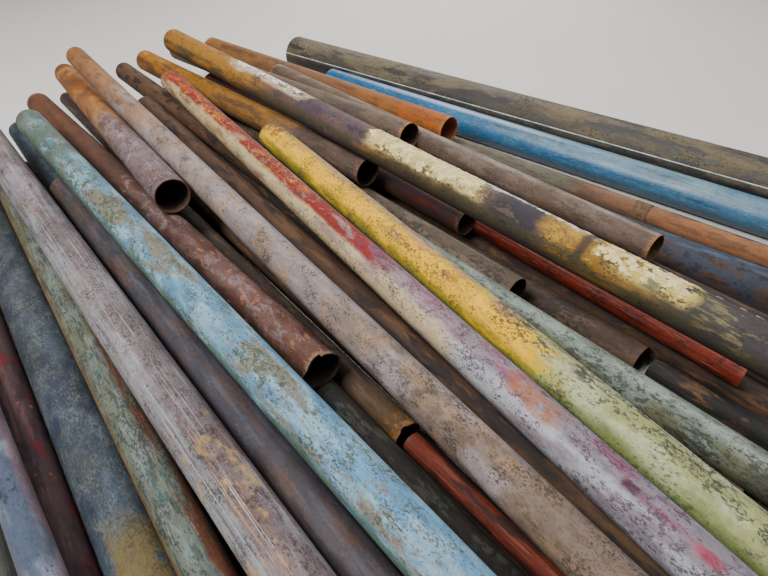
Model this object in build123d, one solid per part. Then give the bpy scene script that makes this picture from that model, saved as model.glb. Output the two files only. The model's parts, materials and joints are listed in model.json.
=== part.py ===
from build123d import *
import os
from math import cos, radians, sin, sqrt, tan

os.makedirs("parts", exist_ok=True)

# A loose heap of used round tubes on level ground. The tubes lie along +Y, +X runs across the
# heap and +Z is up. Places in plan are measured from a gauge line that crosses the heap near
# the middle of its tubes; the finished heap is then moved so that its origin is on the ground
# under the centre of its box.

# Stock sizes: outside diameter and wall
OD_60 = 60.3
WALL_60 = 3.6
OD_65 = 76.1
WALL_65 = 3.6
OD_80 = 88.9
WALL_80 = 4.0
OD_100 = 114.3
WALL_100 = 5.0
OD_120 = 127.0
WALL_120 = 5.0
OD_125 = 133.0
WALL_125 = 5.0
OD_130 = 139.7
WALL_130 = 5.6
OD_159 = 159.0
WALL_159 = 6.3
OD_150 = 168.3
WALL_150 = 6.3
OD_MAIN = 250.0
WALL_MAIN = 14.8

# Stock lengths
SHORT = 3000.0
MEDIUM = 4000.0
LONG = 5000.0
FULL = 6000.0

# How the tubes lie
REST_GAP = 0.3
STATION_STEP = 10.0
ROW_LINE = 3400.0
ROW_GAP = 6.1
ROW_START = 56.6
ROW_SKEWS = [-1.0] * 6 + [-1.5, -2.0, -2.4, -2.9, -3.3] + [-3.8] * 4
OFFCUT_PLACE = 11

# Coupling collar on the thin tube at the back
COLLAR_STATION = 1190.0
COLLAR_LENGTH = 75.0
COLLAR_WALL = 6.0
COLLAR_SIDES = 36

# Tubes under or behind the rest are drawn with few sides. The tubes in ROUND_BORES are round
# inside as well as outside, because things are pushed into them, and the others have a bore
# with flats.
HIDDEN_TUBES = {
    "bottom_row", "second_row", "front_fillers", "back_support", "edge_tube",
    "near_supports", "rear_supports", "cross_supports", "upper_support",
}
HIDDEN_SIDES = 24
HIDDEN_BORE_SIDES = 16
ROUND_BORES = {
    "rust_offcut", "torch_cut_tube", "ochre_offcut", "dusty_offcut", "orange_offcut", "torn_tube",
    "grey_brown_tube", "brick_red_tube", "dark_offcut", "brown_offcut", "pale_long_tube",
    "striped_pipe",
}
BORE_SIDES = 24

# Rough ends. Waves run from the top of the mouth to its bottom, tears are given by the angle
# round the mouth, counted from its right side, and by their radius and depth.
TORCH_WAVE_RIGHT = [9.0, 2.0, 6.0, 3.0, 12.0, 5.0, 9.0, 4.0, 7.0]
TORCH_WAVE_LEFT = [14.0, 4.0, 17.0, 8.0, 19.0, 7.0, 12.0, 3.0, 10.0]
TEARS = [(118.0, 28.0, 25.0), (160.0, 22.0, 15.0), (25.0, 18.0, 8.0), (250.0, 24.0, 6.0)]
SLANT = 8.4


class Tube:
    """A straight tube. Its height comes from what it lies on, and on the ground its place
    across the heap may come from the tube next to it."""

    def __init__(self, name, od, wall, across, skew, far_end, length, collar_od=0.0):
        self.name = name
        self.od = od
        self.wall = wall
        self.across = across
        self.skew = skew
        self.far_end = far_end
        self.length = length
        self.collar_od = collar_od
        self.height = od / 2
        self.rise = 0.0

    def near_end(self):
        return self.far_end - self.length * cos(radians(self.skew))

    def x(self, y):
        return self.across + y * tan(radians(self.skew))

    def z(self, y):
        return self.height + y * self.rise

    def point(self, y):
        return Vector(self.x(y), y, self.z(y))

    def reaches(self, y):
        return self.near_end() <= y <= self.far_end

    def width(self, y):
        on_collar = abs(y - COLLAR_STATION) <= COLLAR_LENGTH / 2
        return max(self.od, self.collar_od) if on_collar else self.od

    def lie_beside(self, other, side):
        """Moves the tube along the ground until it touches the other one's right (1) or left (-1)."""
        other.rest_on([])
        steepest = radians(max(abs(self.skew), abs(other.skew)))
        near = max(self.near_end(), other.near_end())
        far = min(self.far_end, other.far_end)
        count = round((far - near) / STATION_STEP)
        offsets = []
        for i in range(count + 1):
            y = near + (far - near) * i / count
            contact = (self.width(y) + other.width(y)) / 2 + REST_GAP
            apart = sqrt(contact**2 - (other.z(y) - self.z(y)) ** 2) / cos(steepest)
            offsets.append(side * (other.x(y) - self.x(y)) + apart)
        self.across += side * max(offsets)
        return self

    def resting_height(self, y, laid):
        """Height of the axis at station y when it touches the ground or the highest tube there."""
        height = self.width(y) / 2
        for other in laid:
            contact = (self.width(y) + other.width(y)) / 2 + REST_GAP
            apart = abs(self.x(y) - other.x(y)) * cos(radians(other.skew))
            if apart < contact and other.reaches(y):
                height = max(height, other.z(y) + sqrt(contact**2 - apart**2))
        return height

    def rest_on(self, laid):
        """Rests the tube on the highest pair of supports, one on each side of its middle."""
        near = self.near_end()
        count = round((self.far_end - near) / STATION_STEP)
        stations = [near + (self.far_end - near) * i / count for i in range(count + 1)]
        crests = upper_outline([(y, self.resting_height(y, laid)) for y in stations])
        middle = (near + self.far_end) / 2
        for first, second in zip(crests, crests[1:]):
            if first[0] <= middle < second[0]:
                self.rise = (second[1] - first[1]) / (second[0] - first[0])
                self.height = first[1] - first[0] * self.rise

    def end_plane(self):
        """Plane across the near end. Its normal runs along the tube and its x axis is level."""
        along = self.point(self.far_end) - self.point(self.near_end())
        return Plane(self.point(self.near_end()), x_dir=Vector(along.Y, -along.X, 0), z_dir=along)

    def solid(self):
        bore = self.od / 2 - self.wall
        if self.name in HIDDEN_TUBES:
            outline = RegularPolygon(self.od / 2 + REST_GAP / 3, HIDDEN_SIDES)
            ring = outline - RegularPolygon(bore, HIDDEN_BORE_SIDES)
        elif self.name in ROUND_BORES:
            ring = Circle(self.od / 2) - Circle(bore)
        else:
            ring = Circle(self.od / 2) - RegularPolygon(bore, BORE_SIDES)
        return extrude(self.end_plane() * ring, amount=self.length)


def upper_outline(points):
    """Keeps only the points that a straight bar laid on top of all of them could touch."""
    outline = []
    for y, z in points:
        while len(outline) > 1:
            (y1, z1), (y2, z2) = outline[-2:]
            if (z2 - z1) * (y - y1) > (z - z1) * (y2 - y1):
                break
            outline.pop()
        outline.append((y, z))
    return outline


def bottom_row():
    """Tubes side by side on the ground, fanning out from the row line towards the near side."""
    row = []
    for place, skew in enumerate(ROW_SKEWS):
        across = ROW_START + place * (OD_100 + ROW_GAP) - ROW_LINE * tan(radians(skew))
        far_end = ROW_LINE + 40.0 * (place * 3 % 5 - 2)
        if place != OFFCUT_PLACE:
            row.append(Tube("bottom_row", OD_100, WALL_100, across, skew, far_end, FULL))
    return row


# Name, stock size, distance across at the gauge line, skew in degrees, far end, length.
# A tube on the ground that lies against another one has no distance of its own.
row = bottom_row()
row[10].lie_beside(row[9], 1)
slate_tube = Tube("slate_tube", OD_150, WALL_150, 0.0, -0.5, 3400.0, FULL)
slate_tube.lie_beside(row[0], -1)
plum_tube = Tube("plum_tube", OD_100, WALL_100, 0.0, -0.6, 3300.0, FULL)
plum_tube.lie_beside(slate_tube, -1)
edge_tube = Tube("edge_tube", OD_100, WALL_100, 0.0, -1.0, 3200.0, FULL)
edge_tube.lie_beside(plum_tube, -1)
dark_offcut = Tube("dark_offcut", OD_100, WALL_100, 0.0, -3.8, 3440.0, 2850.0)
dark_offcut.lie_beside(row[OFFCUT_PLACE], -1)
front_fillers = [Tube("front_fillers", OD_80, WALL_80, 0.0, -3.8, 560.0, SHORT)]
front_fillers[0].lie_beside(row[OFFCUT_PLACE], -1)
front_fillers.append(Tube("front_fillers", OD_100, WALL_100, 0.0, -3.8, 1180.0, 3600.0))
front_fillers[1].lie_beside(row[-1], 1)
navy_tube = Tube("navy_tube", OD_150, WALL_150, 0.0, -10.8, 1700.0, MEDIUM)
navy_tube.lie_beside(front_fillers[1], 1)
rear_supports = [Tube("rear_supports", OD_100, WALL_100, 0.0, -3.8, 4000.0, 2200.0)]
rear_supports[0].lie_beside(row[-1], 1)
rear_supports.append(Tube("rear_supports", OD_100, WALL_100, 0.0, -3.8, 4050.0, 2200.0))
rear_supports[1].lie_beside(rear_supports[0], 1)
coupled_tube = Tube(
    "coupled_tube", OD_80, WALL_80, 2687.0, -10.4, 3200.0, FULL, OD_80 + 2 * COLLAR_WALL
)
thin_grey_tube = Tube("thin_grey_tube", OD_60, WALL_60, 0.0, -10.7, 3000.0, FULL)
thin_grey_tube.lie_beside(coupled_tube, 1)
blue_tube = Tube("blue_tube", OD_150, WALL_150, 2990.0, -11.8, 3600.0, FULL)
striped_pipe = Tube("striped_pipe", OD_MAIN, WALL_MAIN, 0.0, -13.15, 4200.0, FULL)
striped_pipe.lie_beside(blue_tube, 1)
GROUND_TUBES = [
    slate_tube, plum_tube, edge_tube, *row, dark_offcut, *front_fillers, *rear_supports, navy_tube,
    coupled_tube, thin_grey_tube, blue_tube, striped_pipe,
]

# The order is the order in which these came to lie on the rest.
STACKED_TUBES = [
    Tube("teal_tube", OD_100, WALL_100, 296.8, -1.0, 3780.0, FULL),
    Tube("second_row", OD_100, WALL_100, 417.0, -1.0, 3440.0, FULL),
    Tube("grey_green_tube", OD_80, WALL_80, 606.5, -1.92, 3380.0, FULL),
    Tube("second_row", OD_100, WALL_100, 830.0, -1.85, 3500.0, FULL),
    Tube("second_row", OD_100, WALL_100, 946.0, -1.75, 3400.0, FULL),
    Tube("second_row", OD_100, WALL_100, 1092.0, -2.2, 3450.0, FULL),
    Tube("olive_tube", OD_100, WALL_100, 1237.0, -2.65, 3500.0, FULL),
    Tube("back_support", OD_130, WALL_130, 1908.0, -3.8, 3450.0, FULL),
    Tube("orange_offcut", OD_159, WALL_159, 2537.0, -10.1, 4500.0, 2300.0),
    Tube("near_supports", OD_100, WALL_100, 1526.0, -3.55, 100.0, SHORT),
    Tube("near_supports", OD_100, WALL_100, 1639.5, -3.8, 150.0, SHORT),
    Tube("streaked_tube", OD_100, WALL_100, 58.0, -0.15, 3400.0, FULL),
    Tube("silver_tube", OD_80, WALL_80, -192.0, -3.1, 3200.0, FULL),
    Tube("brown_offcut", OD_100, WALL_100, 1456.0, -3.5, 3500.0, 2470.0),
    Tube("brick_red_tube", OD_65, WALL_65, 1667.0, -1.6, 3400.0, 3090.0),
    Tube("bronze_offcut", OD_100, WALL_100, 1597.0, -2.1, 3900.0, 2440.0),
    Tube("small_red_tube", OD_60, WALL_60, 705.0, -2.1, 768.0, 1500.0),
    Tube("torn_tube", OD_80, WALL_80, 694.5, -1.5, 4200.0, 3420.0),
    Tube("upper_support", OD_100, WALL_100, 460.0, -2.2, 700.0, 1500.0),
    Tube("cross_supports", OD_100, WALL_100, 658.5, -1.92, 100.0, 800.0),
    Tube("cross_supports", OD_100, WALL_100, 1550.0, -4.0, 100.0, SHORT),
    Tube("dark_brown_tube", OD_100, WALL_100, 808.0, 0.9, 3400.0, LONG),
    Tube("shaded_tube", OD_100, WALL_100, 1094.0, -1.9, 4100.0, MEDIUM),
    Tube("gunmetal_tube", OD_100, WALL_100, 340.0, -2.2, 2660.0, LONG),
    Tube("torch_cut_tube", OD_120, WALL_120, 631.5, -3.72, 3840.0, 2806.0),
    Tube("turquoise_tube", OD_120, WALL_120, 438.0, -3.2, 3250.0, LONG),
    Tube("rust_offcut", OD_130, WALL_130, 417.0, 3.2, 4480.0, 2420.0),
    Tube("pale_long_tube", OD_100, WALL_100, 665.0, 0.3, 4010.0, LONG),
    Tube("sage_tube", OD_100, WALL_100, 1255.0, -3.0, 2400.0, LONG),
    Tube("ochre_offcut", OD_125, WALL_125, 1560.0, -5.8, 4190.0, 2270.0),
    Tube("red_tube", OD_100, WALL_100, 802.0, 3.9, 3420.0, MEDIUM),
    Tube("yellow_tube", OD_120, WALL_120, 946.0, 4.25, 2360.0, LONG),
    Tube("grey_brown_tube", OD_100, WALL_100, 1908.0, -3.3, 3400.0, 2600.0),
    Tube("dusty_offcut", OD_125, WALL_125, 1895.0, -6.0, 4400.0, 2385.0),
    Tube("peeling_tube", OD_130, WALL_130, 1519.0, -4.1, 3850.0, FULL),
    Tube("mauve_tube", OD_130, WALL_130, 212.0, -2.5, 3600.0, FULL),
]

for tube in GROUND_TUBES:
    tube.rest_on([])
for count, tube in enumerate(STACKED_TUBES):
    tube.rest_on(GROUND_TUBES + STACKED_TUBES[:count])
heap = GROUND_TUBES + STACKED_TUBES


def torch_cut(tube):
    """Trims the near end along a wavy line, with a different wave on each side of the tube."""
    end = tube.end_plane()
    upright = Plane(end.origin, x_dir=end.z_dir, z_dir=end.x_dir)
    body = tube.solid()
    for side, depths in ((1, TORCH_WAVE_RIGHT), (-1, TORCH_WAVE_LEFT)):
        step = 2 * tube.od / (len(depths) - 1)
        points = [(depth, tube.od - i * step) for i, depth in enumerate(depths)]
        back = Polyline(points[-1], (-tube.od, -tube.od), (-tube.od, tube.od), points[0])
        body -= extrude(upright * make_face([Spline(*points), back]), amount=side * tube.od)
    return body


def torn(tube):
    """Takes rounded bites out of the rim of the near end."""
    end = tube.end_plane()
    body = tube.solid()
    for turn, radius, depth in TEARS:
        outwards = end.x_dir * cos(radians(turn)) + end.y_dir * sin(radians(turn))
        centre = end.origin + outwards * tube.od / 2 - end.z_dir * (radius - depth)
        body -= Pos(centre.X, centre.Y, centre.Z) * Sphere(radius)
    return body


def slant_cut(tube):
    """Saws the near end off a little out of square."""
    depth = tube.od / 2 * tan(radians(SLANT))
    blade = Pos(0, 0, depth) * Rot(0, -SLANT, 0) * Pos(0, 0, -tube.od) * Box(*[2 * tube.od] * 3)
    return tube.solid() - tube.end_plane() * blade


def collar(tube):
    """A plain sleeve round the tube."""
    outline = RegularPolygon(tube.collar_od / 2, COLLAR_SIDES)
    ring = outline - RegularPolygon(tube.od / 2, COLLAR_SIDES, major_radius=False)
    end = tube.end_plane()
    place = Plane(tube.point(COLLAR_STATION), x_dir=end.x_dir, z_dir=end.z_dir)
    return extrude(place * ring, amount=COLLAR_LENGTH / 2, both=True)


ROUGH_ENDS = {"torch_cut_tube": torch_cut, "torn_tube": torn, "brick_red_tube": slant_cut}

nodes = {}
for tube in heap:
    make = ROUGH_ENDS.get(tube.name, Tube.solid)
    nodes.setdefault(tube.name, []).append(make(tube))
    if tube.collar_od:
        nodes["coupling_collar"] = [collar(tube)]

box = Compound(children=[solid for solids in nodes.values() for solid in solids]).bounding_box()
to_origin = Pos(-box.center().X, -box.center().Y, -box.min.Z)
for name, solids in nodes.items():
    export_step(Compound(children=[to_origin * solid for solid in solids]), f"parts/{name}.step")
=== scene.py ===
import bpy
import json
import math
import random
import numpy as np
from mathutils import Matrix, Vector
from mathutils.noise import noise as lumps


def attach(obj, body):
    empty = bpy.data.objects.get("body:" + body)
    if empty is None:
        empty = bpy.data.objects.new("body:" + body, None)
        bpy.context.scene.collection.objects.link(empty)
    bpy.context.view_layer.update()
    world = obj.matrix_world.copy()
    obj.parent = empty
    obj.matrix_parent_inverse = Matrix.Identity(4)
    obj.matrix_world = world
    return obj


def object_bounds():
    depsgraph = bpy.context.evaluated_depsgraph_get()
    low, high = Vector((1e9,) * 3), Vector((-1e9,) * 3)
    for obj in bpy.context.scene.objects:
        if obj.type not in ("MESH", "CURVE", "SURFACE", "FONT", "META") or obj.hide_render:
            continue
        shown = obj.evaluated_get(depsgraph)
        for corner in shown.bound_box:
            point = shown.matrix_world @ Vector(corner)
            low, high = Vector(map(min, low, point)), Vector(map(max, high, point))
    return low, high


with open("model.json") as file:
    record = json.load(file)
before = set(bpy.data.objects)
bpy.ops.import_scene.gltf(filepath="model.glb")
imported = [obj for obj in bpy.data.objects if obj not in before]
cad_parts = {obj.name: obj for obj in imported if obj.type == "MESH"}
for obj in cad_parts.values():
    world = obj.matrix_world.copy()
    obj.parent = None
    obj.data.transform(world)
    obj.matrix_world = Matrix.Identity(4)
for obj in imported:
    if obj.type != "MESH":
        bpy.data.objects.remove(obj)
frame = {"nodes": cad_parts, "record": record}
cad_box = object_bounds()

# Heap of used round tubes. The tubes' shapes come from the frame. Here each one gets its own
# worn finish, laid out along and round the tube, and the fine things at its ends and on its
# skin: burrs, slag, torn lips, lifted paint and stripes. All lengths are in metres.

# Every finish: how bright and how full its colours are, the grain over them, and painted shade on
# what faces down.
BRIGHTNESS = 0.68
DARKEST = 0.1
SATURATION = 1.18
# Size across, size along, detail, roughness and strength of the fine, middle and broad grain.
GRAIN = (
    (0.0035, 0.006, 3.0, 0.8, 0.48),
    (0.011, 0.02, 5.0, 0.75, 0.78),
    (0.06, 0.16, 6.0, 0.7, 0.9),
)
FINE_RELIEF, MIDDLE_RELIEF = 0.35, 0.7
# Painted shade on what faces down: its colour and strength.
UNDERSIDE_SHADE_COLOUR = (46, 38, 33)
UNDERSIDE_SHADE_STRENGTH = 0.7
# How far a surface faces up where the painted shade starts, and where it is full.
UNDERSIDE_SHADE_STARTS, UNDERSIDE_SHADE_FULL = 0.25, -0.7
BUMP_HEIGHT = 0.001

# Patterns: how far the noise's level moves from even to full cover, where a pit ends in its
# cell, and how wide a crack runs beside the middle level of the noise.
COVER_SPREAD = 0.52
PIT_EDGE = (0.34, 0.16)
CRACK_EDGE = (0.03, 0.012)
SPECKLE_CROWDING, SPECKLE_STRENGTH = 0.7, 0.85
# Marks crowd together in patches, this many marks across and along.
PIT_PATCH, CRACK_PATCH, SPECKLE_PATCH = (9, 14), (4, 6), (11, 18)
# Noises, as detail, roughness and, for flakes, how much they curl.
FLAKE_NOISE, BLOTCH_NOISE, SPECKLE_NOISE = (7.0, 0.68, 0.4), (5.0, 0.55), (3.0, 0.7)
ROUGH_NOISE, EVEN_NOISE = (4.0, 0.6), (4.0, 0.55)
# How wide the wavers are that bend the borders of base colours, zones and sectors.
BASE_WAVER, ZONE_WAVER, SECTOR_WAVER = 0.2, 0.12, 0.07
WAVER_STRETCH, WAVER_NOISE = 1.6, (5.0, 0.62)
# How far a seed moves a finish's patterns across and up, so that no two tubes are alike.
SEED_ACROSS, SEED_UP = 1.7, 0.9

# Tube ends: how deep a mouth is rubbed, and how far from its walls the masks of the bore and
# the cut face end. The tubes have flats, so these are wider than the walls need.
MOUTH_DEPTH, MOUTH_EDGE = 0.03, 0.004
MOUTH_STRENGTH = 0.75
BORE_MASK = (0.0014, 0.0008)
SKIN_MASK = (-0.0015, -0.0025)
RUST_SIZE, RUST_NOISE = (0.012, 0.03), (6.0, 0.65)
RUBBED_STEP, CUT_STEP = (0.4, 0.62), (0.4, 0.6)
# The darker and the lighter colour of a bore and of a cut face, as shares of the stated one.
BORE_SHADES, CUT_SHADES = (0.55, 1.35), (0.8, 1.5)
USUAL_RIM, USUAL_INSIDE, USUAL_ROUGHNESS = (96, 66, 48), (60, 44, 36), 0.78


# --- where each tube lies ---------------------------------------------------------------------


class Axis:
    """A tube's own measures: its near end, directions, radii and length."""

    def __init__(self, node):
        mesh = frame["nodes"][node].data
        points = np.array([v.co for v in mesh.vertices], float)
        mounts = [m for m in frame["record"]["mounts"] if m["name"] == node + "_bore"]
        if mounts:
            start = np.array(mounts[0]["pos_m"])
            along = np.array(mounts[0]["axis"])
        else:
            middle = (points[:, 1].min() + points[:, 1].max()) / 2
            start = points[points[:, 1] < middle].mean(axis=0)
            along = points[points[:, 1] >= middle].mean(axis=0) - start
        along /= np.linalg.norm(along)
        if along[1] < 0:
            along = -along
        steps = (points - start) @ along
        radii = np.linalg.norm(points - start - np.outer(steps, along), axis=1)
        self.along = Vector(along)
        self.start = Vector(start + along * steps.min())
        self.length = float(steps.max() - steps.min())
        self.radius = float(radii.max())
        self.bore = float(radii[radii < radii.mean()].max())
        self.side = self.along.cross(Vector((0, 0, 1))).normalized()
        self.up = self.side.cross(self.along)

    def point(self, s, turn, radius):
        """A place s from the near end and turn degrees to the right of the crest."""
        t = math.radians(turn)
        away = self.side * math.sin(t) + self.up * math.cos(t)
        return self.start + self.along * s + away * radius

    def rotation(self):
        return Matrix((self.side, self.along, self.up)).transposed().to_euler()


# --- finishes ---------------------------------------------------------------------------------


def tint(red, green, blue):
    """A colour in the eye's 0 to 255 scale, as the renderer's linear colour."""
    scaled = (red, green, blue)
    linear = (((c / 255 + 0.055) / 1.055) ** 2.4 if c > 10 else c / 3295 for c in scaled)
    return (*linear, 1.0)


def shade(colour, factor):
    """A colour made darker or lighter."""
    return tint(*(min(255, factor * c) for c in colour))


class Skin:
    """Builds one finish: a base that changes along the tube, layers over it, and worn ends."""

    def __init__(self, name, seed, rough):
        self.material = bpy.data.materials.new(name)
        self.material.use_nodes = True
        self.tree = self.material.node_tree
        self.shader = self.tree.nodes["Principled BSDF"]
        self.seed = seed
        self.rough = rough
        self.height = 0.0

    def add(self, kind, settings=None, **inputs):
        """A node. Each input is named by its own name, or by i and its number."""
        node = self.tree.nodes.new("ShaderNode" + kind)
        for key, value in (settings or {}).items():
            setattr(node, key, value)
        for key, value in inputs.items():
            slot = node.inputs[int(key[1:]) if key[1:].isdigit() else key]
            self.feed(slot, value)
        return node

    def feed(self, slot, value):
        """Links a socket to an input, or sets a constant on it."""
        if isinstance(value, bpy.types.NodeSocket):
            self.tree.links.new(value, slot)
        else:
            slot.default_value = value

    def math(self, operation, a, b=0.0, clamp=False):
        settings = {"operation": operation, "use_clamp": clamp}
        return self.add("Math", settings, i0=a, i1=b).outputs[0]

    def times(self, a, b):
        return self.math("MULTIPLY", a, b)

    def plus(self, a, b):
        return self.math("ADD", a, b)

    def minus(self, a, b, clamp=False):
        return self.math("SUBTRACT", a, b, clamp)

    def centred(self, noise):
        """A noise from 0 to 1, moved so that its middle is 0."""
        return self.minus(noise, 0.5)

    def smooth(self, value, low, high):
        """0 below low, 1 above high, and a soft step between them. Falls where low > high."""
        settings = {"interpolation_type": "SMOOTHSTEP"}
        limits = dict(i1=low, i2=high) if low <= high else dict(i1=high, i2=low, i3=1.0, i4=0.0)
        return self.add("MapRange", settings, i0=value, **limits).outputs[0]

    def mix(self, amount, a, b):
        return self.add("Mix", {"data_type": "RGBA"}, i0=amount, i6=a, i7=b).outputs[2]

    def paint(self, amount, colour):
        """Lays a colour over the finish."""
        self.colour = self.mix(amount, self.colour, colour)

    def raise_by(self, amount, lift):
        self.height = self.plus(self.height, self.times(amount, lift))

    def stretched(self, across, along):
        """The tube's coordinates, scaled so that a pattern has this size across and along."""
        offset = (self.seed * SEED_ACROSS, 0, self.seed * SEED_UP)
        scale = (1 / across, 1 / along, 1 / across)
        return self.add("Mapping", i0=self.place, i1=offset, i3=scale).outputs[0]

    def noise(self, across, along, detail, rough, twist=0.0):
        vector = self.stretched(across, along)
        texture = dict(Scale=1.0, Detail=detail, Roughness=rough, Distortion=twist)
        return self.add("TexNoise", Vector=vector, **texture).outputs[0]

    def cells(self, across, along):
        vector = self.stretched(across, along)
        return self.add("TexVoronoi", Vector=vector, Scale=1.0).outputs["Distance"]

    def locate(self, axis):
        """Sets up the tube's own coordinates: along it, round it and out from its middle."""
        world = self.add("TexCoord").outputs["Object"]
        settings = {"vector_type": "TEXTURE"}
        turned = self.add("Mapping", settings, i0=world, i1=axis.start, i2=axis.rotation())
        self.place = turned.outputs[0]
        x, self.s, z = self.add("SeparateXYZ", i0=self.place).outputs
        self.turn = self.times(self.math("ARCTAN2", x, z), math.degrees(1))
        self.out = self.math("SQRT", self.plus(self.times(x, x), self.times(z, z)))

    def waver(self, wide, amount):
        """A slow noise that keeps the borders of zones from running straight."""
        slow = self.noise(wide, wide * WAVER_STRETCH, *WAVER_NOISE)
        return self.times(self.centred(slow), amount)

    def between(self, value, low, high, fade):
        rises = self.smooth(value, low - fade, low + fade)
        return self.times(rises, self.smooth(value, high + fade, high - fade))

    def zone(self, low, high, fade=0.05, waver=0.5):
        return self.between(self.plus(self.s, self.waver(ZONE_WAVER, waver)), low, high, fade)

    def sector(self, low, high, fade=10.0, waver=60.0):
        turn = self.plus(self.turn, self.waver(SECTOR_WAVER, waver))
        return self.between(turn, low, high, fade)

    def patches(self, size, patch, texture):
        """A slow noise, this many marks across and along, in which marks crowd together."""
        across, along = patch
        return self.noise(size * across, size * along, *texture)

    def pattern(self, kind, size, stretch, cover, edge):
        """A mask of marks with this size across the tube and this share of its surface."""
        level = 0.5 + (0.5 - cover) * COVER_SPREAD
        long = size * stretch
        if kind == "pits":
            crowd = self.patches(size, PIT_PATCH, EVEN_NOISE)
            crowd = self.smooth(crowd, level - 0.05, level + 0.08)
            return self.times(self.smooth(self.cells(size, long), *PIT_EDGE), crowd)
        if kind == "cracks":
            crowd = self.patches(size, CRACK_PATCH, EVEN_NOISE)
            crowd = self.smooth(crowd, level - 0.05, level + 0.05)
            ridge = self.math("ABSOLUTE", self.centred(self.noise(size, long, *ROUGH_NOISE)))
            return self.times(self.smooth(ridge, *CRACK_EDGE), crowd)
        if kind == "speckle":
            crowd = self.centred(self.patches(size, SPECKLE_PATCH, ROUGH_NOISE))
            crowd = self.times(crowd, SPECKLE_CROWDING)
            fine = self.plus(self.noise(size, long, *SPECKLE_NOISE), crowd)
            return self.times(self.smooth(fine, level - edge, level + edge), SPECKLE_STRENGTH)
        texture = FLAKE_NOISE if kind == "flakes" else BLOTCH_NOISE
        return self.smooth(self.noise(size, long, *texture), level - edge, level + edge)

    def layer(self, colour, kind, size=None, stretch=None, cover=None, edge=None, zone=None,
              sector=None, strength=1.0, rough=None, lift=0.0):
        """Lays a second colour over the finish, in a pattern and within a stretch of the tube."""
        masks = []
        if kind != "plain":
            masks.append(self.pattern(kind, size, stretch, cover, edge))
        if zone:
            masks.append(self.zone(*zone))
        if sector:
            masks.append(self.sector(*sector))
        amount = masks[0]
        for mask in masks[1:]:
            amount = self.times(amount, mask)
        amount = self.times(amount, strength)
        self.paint(amount, tint(*colour))
        if rough is not None:
            keep = self.minus(1.0, amount)
            self.rough = self.plus(self.times(keep, self.rough), self.times(amount, rough))
        if lift:
            self.raise_by(amount, lift)

    def base(self, stops, length):
        """Colours along the tube, each at its place from the near end."""
        s = self.plus(self.s, self.waver(BASE_WAVER, 0.5))
        ramp = self.add("ValToRGB", i0=self.math("DIVIDE", s, length))
        elements = ramp.color_ramp.elements
        while len(elements) < len(stops):
            elements.new(0.5)
        for element, (at, colour) in zip(elements, sorted(stops)):
            element.position = min(1.0, max(0.0, at / length))
            element.color = tint(*colour)
        self.colour = ramp.outputs[0]

    def weather(self):
        """Grain in the colour, and painted shade on what faces down."""
        value = BRIGHTNESS
        grains = []
        for across, along, detail, rough, strength in GRAIN:
            grains.append(self.noise(across, along, detail, rough))
            value = self.plus(value, self.times(self.centred(grains[-1]), strength))
        value = self.math("MAXIMUM", value, DARKEST)
        graded = self.add("HueSaturation", Saturation=SATURATION, Value=value, Color=self.colour)
        self.colour = graded.outputs[0]
        # Painted shade: surfaces that face down are darkened.
        normal = self.add("NewGeometry").outputs["Normal"]
        facing_up = self.add("SeparateXYZ", i0=normal).outputs[2]
        low = self.smooth(facing_up, UNDERSIDE_SHADE_STARTS, UNDERSIDE_SHADE_FULL)
        self.paint(self.times(low, UNDERSIDE_SHADE_STRENGTH), tint(*UNDERSIDE_SHADE_COLOUR))
        self.raise_by(grains[0], FINE_RELIEF)
        self.raise_by(grains[1], MIDDLE_RELIEF)

    def ends(self, axis, rim, inside):
        """Rubbed mouths, a dull and dusty bore, and rusty cut faces."""
        rust = self.noise(*RUST_SIZE, *RUST_NOISE)
        near = self.smooth(self.s, MOUTH_DEPTH, MOUTH_EDGE)
        far = self.smooth(self.s, axis.length - MOUTH_DEPTH, axis.length - MOUTH_EDGE)
        rubbed = self.times(self.math("MAXIMUM", near, far), self.smooth(rust, *RUBBED_STEP))
        self.paint(self.times(rubbed, MOUTH_STRENGTH), tint(*rim))
        is_bore = self.smooth(self.out, *(axis.bore + wide for wide in BORE_MASK))
        self.paint(is_bore, self.mix(rust, *(shade(inside, part) for part in BORE_SHADES)))
        below_skin = self.smooth(self.out, *(axis.radius + wide for wide in SKIN_MASK))
        mottle = self.smooth(rust, *CUT_STEP)
        cut = self.mix(mottle, *(shade(rim, part) for part in CUT_SHADES))
        self.paint(self.minus(below_skin, is_bore, clamp=True), cut)

    def finish(self):
        self.feed(self.shader.inputs["Base Color"], self.colour)
        self.feed(self.shader.inputs["Roughness"], self.rough)
        bump = self.add("Bump", Strength=1.0, Distance=BUMP_HEIGHT, Height=self.height)
        self.feed(self.shader.inputs["Normal"], bump.outputs[0])
        return self.material


def marks(kind, usual_edge):
    """A maker of layers of one kind: colour, size across, stretch along, cover and soft edge."""

    def maker(colour, size, stretch, cover, edge=usual_edge, **more):
        return dict(colour=colour, kind=kind, size=size, stretch=stretch, cover=cover, edge=edge,
                    **more)

    return maker


def plain(colour, **more):
    """A layer that fills its zone and sector."""
    return dict(colour=colour, kind="plain", **more)


def recipe(base, *layers, rim=USUAL_RIM, inside=USUAL_INSIDE, rough=USUAL_ROUGHNESS):
    """A whole finish: colours along the tube, layers, and the colours of rim and bore."""
    return dict(base=base, layers=layers, rim=rim, inside=inside, rough=rough)


blotch, peel, speckle = marks("blotch", 0.08), marks("flakes", 0.04), marks("speckle", 0.05)
pits, cracks = marks("pits", None), marks("cracks", None)

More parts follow.
